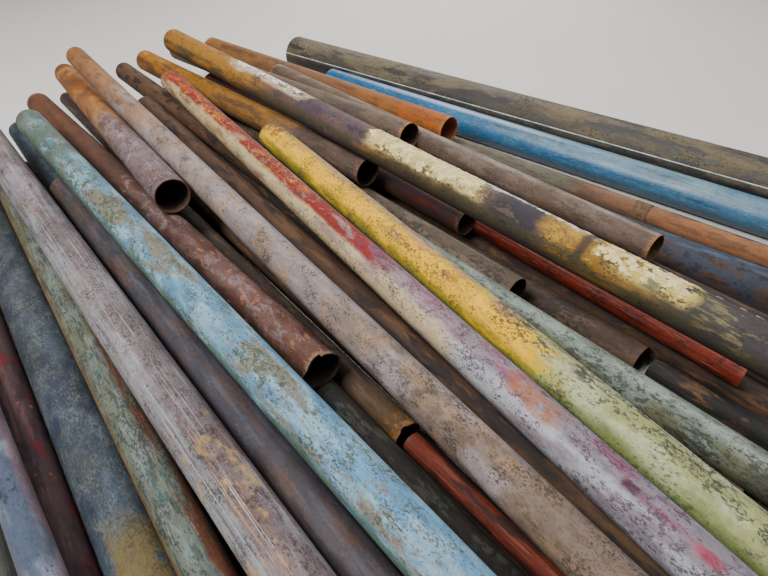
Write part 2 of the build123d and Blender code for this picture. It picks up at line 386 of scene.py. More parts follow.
# Base colours are (from the near end, colour). Layers are drawn in order. A zone is (from, to)
# along the tube, and a sector (from, to) in degrees right of the crest. Each can go on with the
# width of its soft border, and with how far that border wavers.
FINISHES = {
    "silver_tube": recipe(
        [(0, (71, 83, 102)), (3.3, (81, 93, 112)), (4.4, (75, 85, 104)), (6, (66, 75, 89))],
        blotch((142, 148, 162), 0.06, 3, 0.45, 0.1, strength=0.7),
        blotch((128, 96, 102), 0.03, 8, 0.6, sector=(38, 120, 12, 30), strength=0.7),
        blotch((138, 98, 92), 0.03, 8, 0.55, sector=(-130, -45, 12, 30), strength=0.6),
        speckle((38, 40, 50), 0.009, 2.2, 0.27, sector=(-40, 40, 20, 60), lift=-0.3),
    ),
    "plum_tube": recipe(
        [(0, (58, 42, 46)), (2.6, (62, 44, 50)), (3.8, (70, 50, 52)), (6, (66, 56, 50))],
        blotch((104, 78, 78), 0.018, 18, 0.42, 0.07, sector=(-50, 30), strength=0.75),
        blotch((112, 32, 46), 0.05, 3, 0.33, 0.06, strength=0.8),
        blotch((32, 26, 34), 0.04, 3, 0.4, 0.06, strength=0.8),
        pits((196, 120, 90), 0.02, 1.5, 0.25),
    ),
    "slate_tube": recipe(
        [(0, (56, 66, 80)), (3, (62, 74, 92)), (4.4, (66, 76, 88)), (6, (74, 74, 74))],
        peel((94, 104, 106), 0.04, 2.2, 0.44, 0.1, sector=(-60, 30, 14, 50), strength=0.5),
        blotch((32, 40, 62), 0.09, 2.5, 0.42, strength=0.8),
        speckle((118, 124, 120), 0.004, 3, 0.36, 0.06, strength=0.6),
        speckle((28, 32, 40), 0.006, 2, 0.34, 0.06, strength=0.8),
        peel((110, 96, 60), 0.06, 1.6, 0.7, 0.06, zone=(3.3, 3.6, 0.06, 0.2),
             sector=(-38, 42, 8, 40), strength=0.9, lift=0.2),
        speckle((50, 52, 44), 0.007, 1.6, 0.4, 0.06, strength=0.8),
    ),
    "streaked_tube": recipe(
        [(0, (92, 98, 90)), (3.2, (100, 108, 100)), (4.6, (104, 104, 86)), (6, (96, 82, 62))],
        peel((118, 130, 128), 0.03, 5, 0.46, 0.06, sector=(-40, 34), strength=0.8),
        blotch((56, 62, 56), 0.012, 6, 0.38, 0.04, strength=0.7),
        speckle((44, 84, 92), 0.015, 3, 0.29, zone=(2.4, 4.2), sector=(-30, 25, 10, 30), lift=0.2),
        peel((116, 66, 48), 0.03, 6, 0.55, 0.05, sector=(14, 60, 8, 30), strength=0.9, lift=-0.2),
        blotch((92, 60, 44), 0.05, 6, 0.7, 0.1, sector=(45, 140), strength=0.75),
        plain((140, 104, 58), sector=(-86, -66, 5, 12), strength=0.8),
        blotch((180, 178, 166), 0.0035, 36, 0.25, 0.02, strength=0.45),
        speckle((50, 54, 50), 0.006, 2.2, 0.36, lift=-0.3),
    ),
    "mauve_tube": recipe(
        [(0, (101, 90, 93)), (2.8, (106, 94, 96)), (4, (116, 107, 110)), (5.2, (109, 99, 105)),
         (6, (101, 86, 84))],
        cracks((64, 56, 58), 0.03, 1.6, 0.6, strength=0.75, lift=-0.3),
        blotch((166, 160, 168), 0.08, 4, 0.42, 0.1, strength=0.6),
        blotch((122, 92, 80), 0.1, 3.5, 0.34, sector=(-50, 70), strength=0.55),
        blotch((148, 154, 158), 0.012, 20, 0.55, 0.07, sector=(-110, -30, 10, 16), strength=0.75),
        speckle((64, 48, 46), 0.00525, 2, 0.29, lift=-0.3),
        blotch((186, 150, 112), 0.004, 90, 0.24, 0.015, sector=(-70, 0), strength=0.8, lift=0.15),
        blotch((208, 208, 214), 0.0026, 160, 0.27, 0.012, strength=0.65, lift=-0.1),
        blotch((196, 166, 120), 0.05, 1.6, 0.32, 0.05, zone=(2.3, 3.4), strength=0.6),
    ),
    "gunmetal_tube": recipe(
        [(0, (72, 66, 66)), (2.2, (78, 70, 70)), (3.4, (60, 58, 66)), (4.4, (50, 50, 58)),
         (5, (60, 50, 48))],
        blotch((88, 88, 100), 0.02, 10, 0.42, sector=(-30, 60), strength=0.65),
        peel((92, 68, 56), 0.035, 5, 0.42, 0.07, sector=(-80, 20), strength=0.7),
        blotch((44, 26, 30), 0.04, 6, 0.4, 0.06, sector=(-140, -40), strength=0.8),
        pits((104, 100, 108), 0.009, 1, 0.45, strength=0.6),
    ),
    "teal_tube": recipe(
        [(0, (36, 44, 50)), (6, (40, 56, 66))],
        blotch((62, 76, 80), 0.02, 10, 0.42, 0.04),
        speckle((24, 28, 34), 0.009, 2, 0.37),
    ),
    "edge_tube": recipe(
        [(0, (50, 54, 54)), (6, (58, 60, 56))],
        blotch((74, 76, 70), 0.02, 12, 0.45, 0.04),
    ),
    "turquoise_tube": recipe(
        [(0, (112, 151, 182)), (2.4, (117, 158, 192)), (3.4, (110, 149, 175)),
         (4.2, (101, 136, 153)), (5, (95, 115, 116))],
        blotch((160, 190, 204), 0.05, 3.5, 0.5, strength=0.8),
        blotch((108, 146, 170), 0.05, 4, 0.36, 0.07, sector=(0, 100), strength=0.6),
        peel((128, 118, 100), 0.1, 3, 0.5, sector=(-66, 30, 10, 40), strength=0.9, lift=-0.35),
        speckle((70, 84, 68), 0.012, 2.2, 0.36, sector=(-95, 30, 16, 70), lift=-0.3),
        speckle((66, 72, 62), 0.0045, 2, 0.29, lift=-0.3),
        blotch((88, 108, 84), 0.03, 4, 0.62, 0.06, sector=(-150, -68, 12, 40), strength=0.8),
        blotch((86, 98, 82), 0.1, 1.6, 0.62, zone=(4.35, 5.2), strength=0.75),
    ),
    "grey_green_tube": recipe(
        [(0, (58, 58, 52)), (3, (52, 48, 42))],
        blotch((82, 82, 74), 0.03, 5, 0.4, 0.04),
        speckle((36, 34, 32), 0.015, 2, 0.37, 0.04),
    ),
    "small_red_tube": recipe(
        [(0, (104, 52, 44)), (1.4, (120, 60, 50))],
        blotch((150, 92, 80), 0.006, 30, 0.36, 0.03),
        blotch((62, 36, 34), 0.03, 5, 0.4, 0.04),
    ),
    "torn_tube": recipe(
        [(0, (101, 77, 53)), (0.06, (83, 65, 49)), (0.35, (64, 52, 46)), (3.4, (57, 45, 40))],
        blotch((96, 80, 64), 0.03, 5, 0.4, 0.06),
        speckle((168, 122, 70), 0.015, 1.5, 0.49, zone=(-0.1, 0.045, 0.015, 0.08), strength=0.85,
                lift=0.3),
        speckle((40, 34, 34), 0.015, 3, 0.35, lift=-0.3),
        rim=(148, 104, 62),
    ),
    "torch_cut_tube": recipe(
        [(0, (108, 76, 66)), (0.5, (112, 84, 78)), (1.1, (104, 84, 80)), (1.5, (84, 60, 48)),
         (2.8, (110, 74, 50))],
        peel((142, 122, 124), 0.03, 2.5, 0.42, zone=(0.1, 1.5), sector=(-60, 60), strength=0.75,
             lift=0.25),
        blotch((82, 48, 38), 0.04, 4, 0.42, 0.06, strength=0.75),
        blotch((186, 138, 112), 0.02, 2, 0.3, 0.03, zone=(0, 0.8), strength=0.55),
        speckle((52, 40, 38), 0.006, 2, 0.29, lift=-0.3),
        rim=(168, 140, 112),
    ),
    "rust_offcut": recipe(
        [(0, (122, 106, 106)), (0.5, (138, 120, 122)), (0.9, (150, 126, 118)),
         (1.3, (162, 118, 86)), (1.8, (150, 98, 62)), (2.4, (126, 82, 56))],
        peel((178, 160, 160), 0.05, 2, 0.42, zone=(0, 1.2), strength=0.6, lift=0.2),
        blotch((108, 78, 66), 0.05, 3, 0.4, 0.05, strength=0.6),
        speckle((56, 52, 60), 0.006, 1.8, 0.37, zone=(-0.1, 1), lift=-0.35),
        blotch((206, 150, 104), 0.08, 2.5, 0.4, 0.07, zone=(0.9, 2.6), strength=0.6),
        rim=(104, 78, 66), inside=(70, 52, 42),
    ),
    "pale_long_tube": recipe(
        [(0, (116, 98, 84)), (1, (122, 106, 94)), (1.8, (132, 116, 106)), (2.6, (146, 134, 130)),
         (3.4, (158, 142, 134)), (4.1, (164, 130, 104)), (5, (160, 112, 76))],
        blotch((166, 156, 160), 0.07, 3.5, 0.44, zone=(1.4, 4.2), strength=0.7),
        blotch((178, 146, 112), 0.08, 1.8, 0.36, 0.07, zone=(0.9, 4), strength=0.4),
        blotch((128, 130, 142), 0.03, 8, 0.5, 0.07, sector=(30, 110), strength=0.6),
        peel((94, 76, 60), 0.03, 2, 0.42, zone=(-0.1, 1.9), strength=0.6, lift=0.15),
        speckle((58, 48, 44), 0.0045, 1.8, 0.32, lift=-0.3),
        peel((64, 60, 68), 0.022, 1.4, 0.27, 0.03, zone=(1.6, 2.7), strength=0.8, lift=-0.2),
        rim=(110, 80, 60),
    ),
    "dark_brown_tube": recipe(
        [(0, (66, 48, 38)), (5, (84, 62, 48))],
        blotch((98, 74, 56), 0.025, 9, 0.4, 0.04),
        blotch((42, 32, 30), 0.04, 5, 0.4, 0.04),
    ),
    "shaded_tube": recipe(
        [(0, (62, 46, 36)), (2, (74, 54, 42)), (4, (96, 72, 54))],
        blotch((102, 78, 58), 0.03, 7, 0.4, 0.04),
        blotch((40, 32, 30), 0.03, 5, 0.38, 0.04),
    ),
    "red_tube": recipe(
        [(0, (138, 132, 142)), (0.9, (140, 132, 142)), (1.4, (154, 141, 148)),
         (1.8, (164, 141, 141)), (2.3, (166, 140, 127)), (3.2, (169, 140, 110)),
         (4, (156, 112, 84))],
        blotch((214, 196, 158), 0.04, 5, 0.6, zone=(1.4, 4.1), sector=(-120, -28, 10, 30),
               strength=0.85, lift=0.1),
        blotch((192, 196, 204), 0.04, 5, 0.55, zone=(-0.1, 1.4), sector=(-120, -30, 10, 30),
               strength=0.7),
        blotch((156, 156, 184), 0.05, 6, 0.62, sector=(34, 120, 10, 24), strength=0.75),
        peel((136, 32, 30), 0.06, 3, 0.68, 0.06, zone=(1.75, 4.1, 0.08, 0.4),
             sector=(-36, 38, 10, 30), strength=0.95, lift=0.2),
        peel((216, 92, 44), 0.05, 3, 0.42, zone=(2.3, 4.1), sector=(-24, 20, 10, 26),
             strength=0.75),
        speckle((222, 178, 110), 0.015, 2, 0.35, zone=(2.2, 4.1), sector=(-40, 30), strength=0.8,
                lift=-0.15),
        peel((148, 92, 116), 0.045, 2.6, 0.46, 0.05, zone=(-0.1, 1.9), sector=(-24, 44, 10, 40),
             strength=0.75, lift=0.12),
        cracks((70, 48, 66), 0.03, 1.8, 0.5, zone=(-0.1, 1.9), sector=(-60, 60), strength=0.75,
               lift=-0.3),
        peel((98, 60, 84), 0.028, 2, 0.3, 0.03, zone=(-0.1, 2), sector=(-30, 40), strength=0.8),
        peel((176, 112, 70), 0.03, 1.5, 0.6, 0.05, zone=(1, 1.16, 0.03, 0.12), sector=(-40, 20),
             strength=0.6),
        plain((66, 24, 40), zone=(0.785, 0.825, 0.012, 0.02), sector=(-24, -4, 5, 10),
              strength=0.85),
        plain((168, 52, 78), zone=(0.61, 0.66, 0.02, 0.06), sector=(-28, -4, 6, 20), strength=0.7),
        speckle((70, 58, 64), 0.00525, 2, 0.27, lift=-0.3),
        rim=(140, 84, 60),
    ),
    "yellow_tube": recipe(
        [(0, (152, 158, 112)), (2.6, (158, 164, 118)), (3.1, (168, 172, 122)),
         (3.5, (206, 188, 96)), (3.9, (188, 158, 112)), (4.3, (214, 180, 84)),
         (4.7, (220, 180, 44)), (5, (178, 132, 66))],
        blotch((255, 196, 0), 0.07, 2.5, 0.78, 0.06, zone=(3.2, 5.1), sector=(-80, 0, 12, 34),
               lift=0.15),
        peel((188, 146, 126), 0.05, 2.5, 0.5, 0.05, zone=(3.3, 4.7), sector=(-10, 60),
             strength=0.75),
        blotch((186, 196, 208), 0.04, 6, 0.66, 0.07, sector=(36, 120, 9, 24), strength=0.85),
        blotch((204, 208, 178), 0.05, 3, 0.42, zone=(-0.1, 3.3), strength=0.5),
        blotch((104, 118, 66), 0.05, 4, 0.6, sector=(-140, -58, 12, 40), strength=0.75),
        peel((128, 92, 96), 0.035, 2, 0.44, 0.03, zone=(3.6, 4, 0.08, 0.4), sector=(-40, 40),
             strength=0.8, lift=-0.3),
        peel((142, 88, 66), 0.05, 1.2, 0.6, 0.05, zone=(4.84, 5.1, 0.03, 0.1), sector=(-40, 50),
             strength=0.8),
        cracks((48, 50, 50), 0.035, 1.7, 0.62, zone=(-0.1, 3.5), sector=(-30, 75), strength=0.85,
               lift=-0.35),
        peel((62, 62, 58), 0.035, 2.6, 0.36, 0.02, zone=(-0.1, 3.5), sector=(-10, 50), strength=0.9,
             lift=-0.45),
        speckle((62, 60, 54), 0.00675, 1.8, 0.29, strength=0.85, lift=-0.35),
    ),
    "sage_tube": recipe(
        [(0, (118, 128, 116)), (2.6, (126, 136, 124)), (3.4, (122, 134, 126)), (5, (102, 108, 98))],
        blotch((164, 172, 164), 0.05, 5, 0.5, sector=(-20, 70), strength=0.75),
        blotch((96, 90, 60), 0.05, 4, 0.62, sector=(-130, -36, 12, 40), strength=0.8),
        speckle((48, 52, 44), 0.012, 2.4, 0.39, sector=(-120, -6, 14, 60), lift=-0.2),
        speckle((76, 82, 74), 0.00525, 2, 0.33, lift=-0.3),
        blotch((138, 132, 160), 0.02, 6, 0.34, 0.05, sector=(20, 80), strength=0.5),
    ),
    "olive_tube": recipe(
        [(0, (74, 70, 56)), (3, (70, 62, 50)), (5.4, (82, 62, 46)), (6, (120, 84, 54))],
        blotch((96, 94, 74), 0.03, 6, 0.4, 0.04),
        speckle((46, 42, 36), 0.01125, 2, 0.35, 0.04),
    ),
    "ochre_offcut": recipe(
        [(0, (92, 76, 70)), (0.45, (102, 84, 74)), (0.7, (148, 112, 70)), (1.6, (168, 122, 70)),
         (2.3, (176, 122, 66))],
        blotch((188, 144, 92), 0.06, 3, 0.5, zone=(0.5, 2.4), sector=(-20, 110), strength=0.75),
        blotch((88, 66, 54), 0.05, 5, 0.46, 0.06, sector=(-130, -24), strength=0.75),
        blotch((124, 108, 100), 0.006, 24, 0.4, 0.04, zone=(-0.1, 0.7), strength=0.5),
        speckle((62, 48, 42), 0.00525, 2, 0.27, lift=-0.25),
        rim=(126, 92, 66), inside=(66, 52, 42),
    ),
    "brown_offcut": recipe(
        [(0, (94, 82, 70)), (2.5, (92, 72, 56))],
        blotch((120, 108, 94), 0.03, 6, 0.42, 0.04),
        speckle((58, 48, 42), 0.01125, 2, 0.35, 0.04),
    ),
    "bronze_offcut": recipe(
        [(0, (84, 60, 52)), (0.3, (78, 56, 52)), (0.8, (94, 68, 58)), (2.4, (92, 66, 50))],
        blotch((126, 98, 84), 0.02, 14, 0.42, 0.07, sector=(-10, 80), strength=0.7, rough=0.45),
        blotch((124, 56, 40), 0.05, 3, 0.42, 0.06, sector=(-80, 0), strength=0.75),
        blotch((58, 46, 56), 0.04, 5, 0.42, 0.06, strength=0.65),
        speckle((44, 36, 36), 0.009, 2, 0.27, lift=-0.2),
        rim=(120, 84, 64), rough=0.55,
    ),
    "brick_red_tube": recipe(
        [(0, (176, 72, 52)), (0.3, (160, 64, 48)), (1.2, (138, 52, 40)), (3.1, (112, 50, 40))],
        blotch((196, 88, 64), 0.02, 12, 0.44, 0.06, sector=(-30, 80), strength=0.8),
        blotch((92, 34, 30), 0.03, 8, 0.42, 0.06, sector=(-130, -24), strength=0.8),
        blotch((222, 170, 140), 0.0022, 140, 0.3, 0.012, strength=0.8, lift=-0.12),
        speckle((66, 38, 36), 0.0075, 3, 0.29, lift=-0.25),
        rim=(190, 92, 66), rough=0.6,
    ),
    "dark_offcut": recipe(
        [(0, (78, 62, 52)), (2.8, (66, 50, 42))],
        blotch((98, 80, 66), 0.03, 6, 0.4, 0.04),
        speckle((44, 36, 32), 0.01125, 2, 0.37, 0.04),
    ),
    "peeling_tube": recipe(
        [(0, (74, 70, 74)), (2.2, (62, 58, 66)), (2.6, (70, 64, 62)), (2.75, (150, 122, 76)),
         (3, (162, 124, 66)), (3.2, (98, 84, 78)), (3.5, (112, 92, 68)), (4, (140, 108, 72)),
         (4.15, (98, 78, 78)), (4.7, (112, 86, 72)), (5.1, (176, 132, 80)), (6, (176, 128, 76))],
        blotch((74, 60, 78), 0.07, 3, 0.48, 0.06, zone=(4.05, 4.75, 0.06, 0.3), strength=0.8),
        peel((206, 190, 166), 0.07, 2.2, 0.64, 0.012, zone=(4.55, 5.3, 0.05, 0.6),
             sector=(-30, 100, 10, 60), lift=0.9),
        peel((224, 206, 150), 0.06, 2.4, 0.62, 0.012, zone=(3.42, 4.08, 0.05, 0.5),
             sector=(-62, 70, 10, 50), lift=0.9),
        peel((226, 226, 230), 0.09, 2.4, 0.74, 0.01, zone=(2.98, 3.62, 0.04, 0.4),
             sector=(8, 120, 6, 60), lift=1.1),
        peel((40, 36, 50), 0.06, 2, 0.6, 0.03, zone=(3.1, 3.36, 0.05, 0.2),
             sector=(-70, 26, 12, 40), strength=0.9),
        peel((196, 158, 88), 0.05, 2, 0.6, 0.03, zone=(2.98, 3.14, 0.03, 0.15), sector=(-60, 20),
             strength=0.85),
        plain((58, 44, 44), zone=(2.965, 3, 0.01, 0.05), sector=(-90, 40, 10, 30), strength=0.85),
        peel((222, 202, 130), 0.045, 1.8, 0.58, 0.014, zone=(2.62, 2.96, 0.02, 0.12),
             sector=(-60, 66, 10, 40), lift=0.8),
        peel((104, 108, 96), 0.03, 1.4, 0.6, 0.03, zone=(2.71, 2.76, 0.012, 0.05), sector=(-60, 60),
             strength=0.8),
        peel((232, 232, 236), 0.08, 4, 0.62, 0.01, zone=(-0.1, 2.62, 0.03, 0.2),
             sector=(34, 100, 4, 40), lift=1),
        speckle((150, 138, 96), 0.015, 5, 0.35, zone=(-0.1, 2.62), sector=(-120, 0), strength=0.7),
        blotch((74, 70, 50), 0.05, 5, 0.6, 0.07, sector=(-140, -62, 8, 20), strength=0.8),
        speckle((44, 38, 36), 0.006, 2, 0.29, lift=-0.3),
        rim=(120, 92, 66),
    ),
    "grey_brown_tube": recipe(
        [(0, (118, 100, 90)), (0.7, (124, 110, 102)), (1.6, (112, 96, 84)), (2.6, (108, 88, 72))],
        blotch((168, 152, 144), 0.04, 6, 0.5, sector=(-10, 100), strength=0.7),
        blotch((92, 72, 58), 0.04, 4, 0.48, 0.07, sector=(-140, -20), strength=0.7),
        speckle((72, 60, 52), 0.00525, 2, 0.31, lift=-0.25),
        rim=(150, 108, 72), inside=(110, 80, 54),
    ),
    "dusty_offcut": recipe(
        [(0, (114, 96, 82)), (0.9, (106, 92, 80)), (2.4, (128, 98, 70))],
        blotch((152, 130, 108), 0.04, 6, 0.48, sector=(0, 110), strength=0.7),
        blotch((78, 66, 60), 0.04, 6, 0.48, 0.07, sector=(-140, -10), strength=0.7),
        speckle((60, 50, 44), 0.00525, 2, 0.29, lift=-0.25),
        rim=(170, 118, 70), inside=(74, 60, 50),
    ),
    "orange_offcut": recipe(
        [(0, (166, 108, 64)), (0.6, (152, 104, 70)), (1.2, (122, 92, 72)), (2.3, (160, 116, 76))],
        blotch((196, 146, 104), 0.05, 5, 0.5, sector=(10, 120), strength=0.7),
        blotch((96, 66, 48), 0.05, 4, 0.45, 0.07, sector=(-140, -10), strength=0.7),
        peel((182, 92, 36), 0.03, 2, 0.5, zone=(-0.1, 0.35), strength=0.7),
        rim=(176, 106, 54), inside=(150, 92, 48),
    ),
    "navy_tube": recipe(
        [(0, (58, 66, 82)), (4, (62, 68, 80))],
        blotch((92, 104, 126), 0.03, 5, 0.46, 0.07, sector=(-20, 60), strength=0.7),
        blotch((86, 60, 42), 0.05, 2, 0.55, 0.06, sector=(-120, -20), strength=0.8),
        peel((30, 32, 44), 0.03, 2, 0.4, 0.03, strength=0.8),
    ),
    "coupled_tube": recipe(
        [(0, (128, 100, 80)), (3, (168, 122, 92)), (3.7, (166, 118, 88)), (4.25, (118, 92, 76)),
         (4.4, (112, 108, 92)), (6, (100, 98, 88))],
        blotch((194, 150, 116), 0.03, 5, 0.44, 0.07, zone=(2.4, 4.2), sector=(-20, 90),
               strength=0.6),
        blotch((84, 66, 54), 0.03, 5, 0.42, 0.06, strength=0.6),
    ),
    "thin_grey_tube": recipe(
        [(0, (124, 118, 100)), (6, (112, 110, 96))],
        blotch((148, 142, 122), 0.02, 12, 0.42, 0.04),
        blotch((74, 70, 60), 0.03, 6, 0.42, 0.04),
    ),
    "blue_tube": recipe(
        [(0, (92, 130, 160)), (3.6, (98, 140, 172)), (4.6, (86, 132, 172)), (6, (70, 118, 168))],
        blotch((150, 170, 174), 0.12, 4, 0.56, 0.14, zone=(-0.1, 4.6), sector=(-50, 60),
               strength=0.6),
        blotch((52, 92, 130), 0.03, 18, 0.36, 0.06, strength=0.5),
        blotch((188, 196, 190), 0.004, 12, 0.28, 0.03, strength=0.5),
        speckle((60, 76, 88), 0.015, 2, 0.25, strength=0.5),
        rim=(84, 124, 156), inside=(62, 92, 122), rough=0.38,
    ),
    "striped_pipe": recipe(
        [(0, (96, 88, 76)), (6, (88, 82, 72))],
        peel((134, 122, 100), 0.12, 4, 0.52, 0.06, sector=(-75, 75), strength=0.7, rough=0.9),
        peel((52, 50, 52), 0.07, 5, 0.42, strength=0.85, rough=0.5),
        speckle((44, 38, 34), 0.009, 2, 0.29),
        blotch((38, 37, 38), 0.06, 6, 0.6, sector=(-160, -84, 6, 12), strength=0.8),
        blotch((36, 36, 38), 0.06, 6, 0.6, sector=(84, 160, 6, 12), strength=0.8),
        rim=(46, 46, 48), inside=(44, 42, 42), rough=0.7,
    ),
}

# Hidden rows: how they are turned in degrees, how wide and long a band of one shade is, and the
# marks over them as colour, size across, stretch along and cover.
ROW_HEADING = -2.0
ROW_BAND = (0.14, 30.0)
ROW_MARKS = (((122, 92, 66), 0.03, 5, 0.36), ((40, 34, 32), 0.03, 4, 0.4))


def make_skin(node, seed, base, layers, rim, inside, rough):
    axis = Axis(node)
    skin = Skin(node + "_finish", seed, rough)
    skin.locate(axis)
    skin.base(base, axis.length)
    for layer in layers:
        skin.layer(**layer)
    skin.weather()
    skin.ends(axis, rim, inside)
    return skin.finish()


def dress(node, material):
    mesh = frame["nodes"][node].data
    mesh.materials.clear()
    mesh.materials.append(material)


def row_skin(name, seed, dark, light):
    """One finish for the tubes of a hidden row, which shade differently from tube to tube."""
    skin = Skin(name, seed, 0.75)
    world = skin.add("TexCoord").outputs["Object"]
    skin.place = skin.add("Mapping", i0=world, i2=(0, 0, math.radians(ROW_HEADING))).outputs[0]
    bands = skin.noise(*ROW_BAND, 0.0, 0.5)
    skin.colour = skin.mix(skin.smooth(bands, 0.35, 0.65), tint(*dark), tint(*light))
    for colour, size, stretch, cover in ROW_MARKS:
        mask = skin.pattern("flakes", size, stretch, cover, 0.05)
        skin.paint(skin.times(mask, 0.8), tint(*colour))
    skin.weather()
    return skin.finish()


COLLAR = recipe(
    [(0, (122, 96, 74)), (0.075, (132, 104, 78))],
    speckle((84, 62, 48), 0.01125, 2, 0.44, 0.04),
)

for seed, (node, finish) in enumerate(FINISHES.items(), 1):
    dress(node, make_skin(node, seed, **finish))
# The hidden rows are rust brown, darkened as painted shade for the gaps they fill.
hidden_rust_and_shade_finish = row_skin("hidden_rust_and_shade_finish", 61, (50, 42, 38), (88, 64, 50))
# The front fillers get a near-black finish: painted shade for the dark gap between tubes.
gap_shade_finish = row_skin("gap_shade_finish", 63, (22, 20, 20), (34, 28, 26))
for node in frame["nodes"]:
    if node not in FINISHES:
        dress(node, gap_shade_finish if node == "front_fillers" else hidden_rust_and_shade_finish)
dress("coupling_collar", make_skin("coupling_collar", 62, **COLLAR))


# --- small things in mesh ---------------------------------------------------------------------

BURR_STEPS, BURR_SIDES, BURR_HEIGHT = 180, 8, 0.0012
# How much of the wall a burr covers, how flat it is on the side of the tube, its least height
# and the height of its lumps as shares of the usual one, and how many lumps lie round the mouth.
BURR_WIDTH, BURR_BACK, BURR_LEAST, BURR_LUMP, BURR_LUMPS = 0.98, 0.4, 0.55, 0.9, 5
# The share of corners without a bead, a bead's sides, and its width as a share of its height.
SLAG_SKIPPED, SLAG_SIDES, SLAG_WIDTH = 0.25, 5, 0.86
# A chip's plate stands this far over the skin in its middle and at its edge, and its back lies
# this far inside. It is longer than wide.
CHIP_MIDDLE, CHIP_EDGE, CHIP_BACK, CHIP_STRETCH = 0.0002, 0.00025, 0.0004, 1.5
# A stripe's steps along the tube, width, height, foot inside the skin, distance from the tube's
# ends, and how far in degrees it wavers.
STRIP_STEPS, STRIP_WIDTH, STRIP_HEIGHT = 120, 0.006, 0.0008
STRIP_FOOT, STRIP_END, STRIP_WAVER = 0.0006, 0.002, 0.12


def plain_skin(name, seed, colour, other, size, rough=0.7):
    """A finish for small pieces, mottled between two colours."""
    skin = Skin(name, seed, rough)
    skin.place = skin.add("TexCoord").outputs["Object"]
    mask = skin.smooth(skin.noise(size, size, 5.0, 0.65), 0.38, 0.62)
    skin.colour = skin.mix(mask, tint(*colour), tint(*other))
    skin.height = skin.times(mask, 0.2)
    return skin.finish()


def piece(name, verts, faces, material, smooth=True):
    """A mesh object on the root body, kept inside the box of the CAD."""
    low, high = cad_box
    inside = [[min(max(c, a), b) for c, a, b in zip(v, low, high)] for v in verts]
    mesh = bpy.data.meshes.new(name)
    mesh.from_pydata(inside, [], faces)
    mesh.validate()
    mesh.update()
    for face in mesh.polygons:
        face.use_smooth = smooth
    mesh.materials.append(material)
    obj = bpy.data.objects.new(name, mesh)
    bpy.context.scene.collection.objects.link(obj)
    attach(obj, "root")


def side_faces(rings, sides, closed):
    """The faces between rings of vertices, also from the last to the first if closed."""
    faces = []
    for ring in range(rings if closed else rings - 1):
        a, b = ring * sides, (ring + 1) % rings * sides
        for k in range(sides):
            following = (k + 1) % sides
            faces.append((a + k, a + following, b + following, b + k))
    return faces


def burr(node, seed, material, end):
    """A lumpy ring of burrs on the cut edge of a tube's mouth."""
    axis = Axis(node)
    middle = (axis.radius + axis.bore) / 2
    reach = (axis.radius - axis.bore) / 2 * BURR_WIDTH
    edge, out = (0.0, -1) if end == "near" else (axis.length, 1)
    verts = []
    for i in range(BURR_STEPS):
        turn = 360 * i / BURR_STEPS
        t = math.radians(turn)
        lump = lumps(Vector((math.sin(t) * BURR_LUMPS + seed, math.cos(t) * BURR_LUMPS, seed)))
        height = out * BURR_HEIGHT * (BURR_LEAST + BURR_LUMP * abs(lump))
        for j in range(BURR_SIDES):
            a = 2 * math.pi * j / BURR_SIDES
            rise = math.sin(a) * (1 if math.sin(a) > 0 else BURR_BACK)
            verts.append(axis.point(edge + height * rise, turn, middle + reach * math.cos(a)))
    faces = side_faces(BURR_STEPS, BURR_SIDES, True)
    piece(f"{node}_{end}_burr", verts, faces, material)


def slag(node, name, seed, reach, size, material):
    """Beads of slag or rust along a ragged mouth, at the corners of its rim."""
    axis = Axis(node)
    rng = random.Random(seed)
    spots = set()
    for vertex in frame["nodes"][node].data.vertices:
        away = vertex.co - axis.start
        s = away.dot(axis.along)
        if s < reach and (away - axis.along * s).length > axis.bore - 0.0002:
            spots.add(tuple(round(c, 5) for c in vertex.co))
    verts, faces = [], []
    for spot in sorted(spots):
        if rng.random() < SLAG_SKIPPED:
            continue
        big, first = size * rng.uniform(0.4, 1.0), len(verts)
        for level, ring in ((-1, 1), (-0.5, SLAG_SIDES), (0.5, SLAG_SIDES), (1, 1)):
            for k in range(ring):
                a = 2 * math.pi * k / ring + level
                wide = (0.0 if ring == 1 else SLAG_WIDTH) * rng.uniform(0.75, 1.15)
                away = (axis.side * math.cos(a) + axis.up * math.sin(a)) * wide
                verts.append(Vector(spot) + (away + axis.along * level) * big)
        last = len(verts) - 1
        for k in range(SLAG_SIDES):
            a, b = first + 1 + k, first + 1 + (k + 1) % SLAG_SIDES
            c, d = a + SLAG_SIDES, b + SLAG_SIDES
            faces += [(first, b, a), (a, b, d, c), (c, d, last)]
    piece(name, verts, faces, material)


def flakes(node, name, seed, count, zone, sector, sizes, lift, material):
    """Chips of paint that stand off the tube at their edges, each a small curled plate."""
    axis = Axis(node)
    rng = random.Random(seed)
    verts, faces = [], []
    for _ in range(count):
        s, turn = rng.uniform(*zone), rng.triangular(*sector)
        size = rng.uniform(*sizes)
        corners = rng.randint(6, 9)
        phase, curl = rng.uniform(0, 360), rng.uniform(0.2, 1.0) * lift
        tilt = rng.uniform(0, 2 * math.pi)
        first = len(verts)
        verts.append(axis.point(s, turn, axis.radius + CHIP_MIDDLE))
        verts.append(axis.point(s, turn, axis.radius - CHIP_BACK))
        for k in range(corners):
            a = math.radians(phase + 360 * k / corners)
            reach = size * rng.uniform(0.55, 1.0)
            corner = s + CHIP_STRETCH * reach * math.cos(a)
            where = turn + math.degrees(reach * math.sin(a) / axis.radius)
            edge = curl * max(0.0, math.cos(a - tilt))
            verts.append(axis.point(corner, where, axis.radius + CHIP_EDGE + edge))
            verts.append(axis.point(corner, where, axis.radius - CHIP_BACK + edge))
        for k in range(corners):
            a, b = first + 2 + 2 * k, first + 2 + 2 * ((k + 1) % corners)
            faces += [(first, b, a), (first + 1, a + 1, b + 1), (a, b, b + 1, a + 1)]
    piece(name, verts, faces, material, smooth=False)


